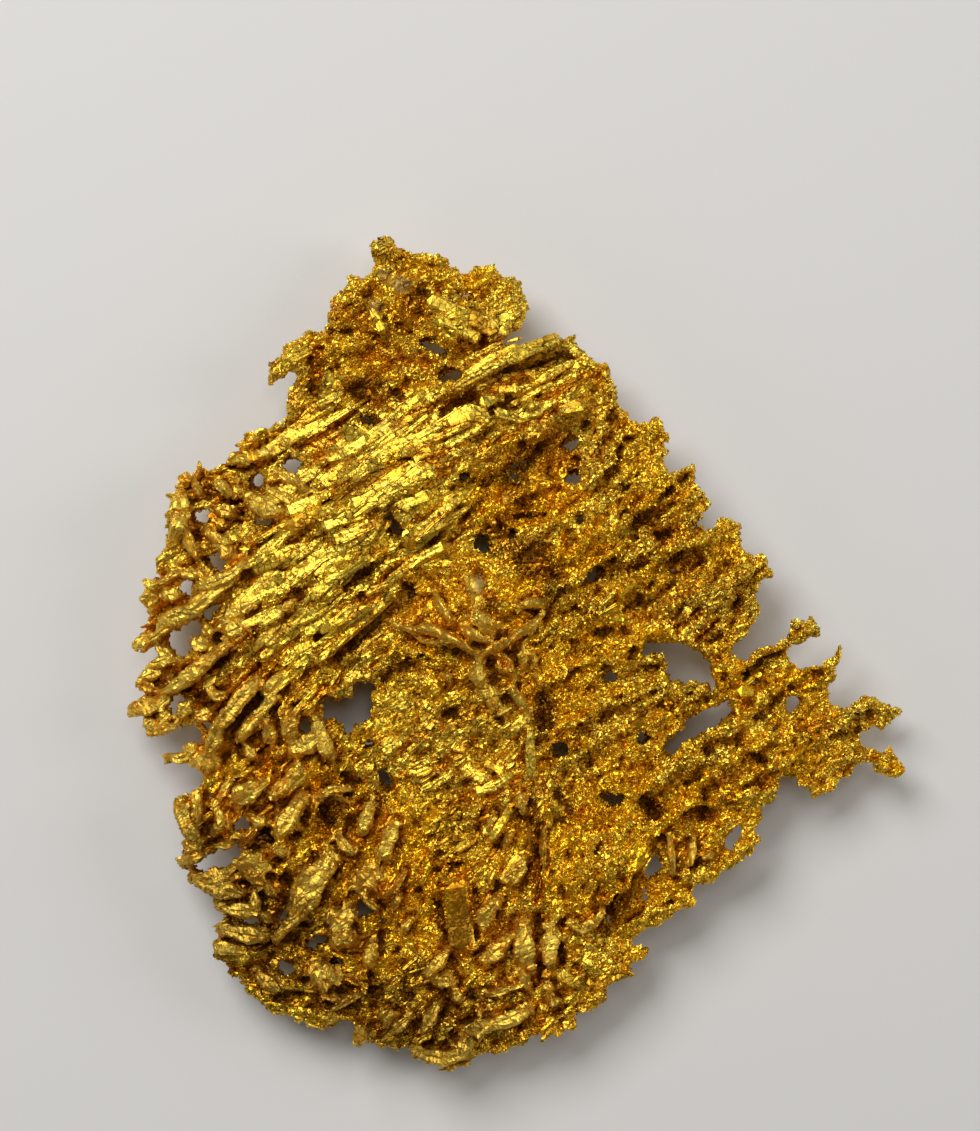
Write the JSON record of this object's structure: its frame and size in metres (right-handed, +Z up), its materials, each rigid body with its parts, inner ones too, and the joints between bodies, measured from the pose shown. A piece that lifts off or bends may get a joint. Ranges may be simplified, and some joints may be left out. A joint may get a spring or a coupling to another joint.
{
  "type": "herringbone gold crystal",
  "caption": "Flattened, crumpled sheet of native gold, ribbed with parallel crystals and pierced by small slits, lying on its back.",
  "frame": {"origin": "on the resting plane, under the middle of the specimen's bounding box", "axes": "+Z up out of the specimen's front face; +Y towards its narrow top lobe; +X towards the side with the fan of fingers"},
  "size_m": [0.0392, 0.042, 0.0052],
  "materials": {
    "gold": "bright crystallised native gold, fine-grained to glossy, with orange-brown stain in the hollows"
  },
  "bodies": {
    "root": {"gold_crystal": "gold"}
  },
  "joints": []
}
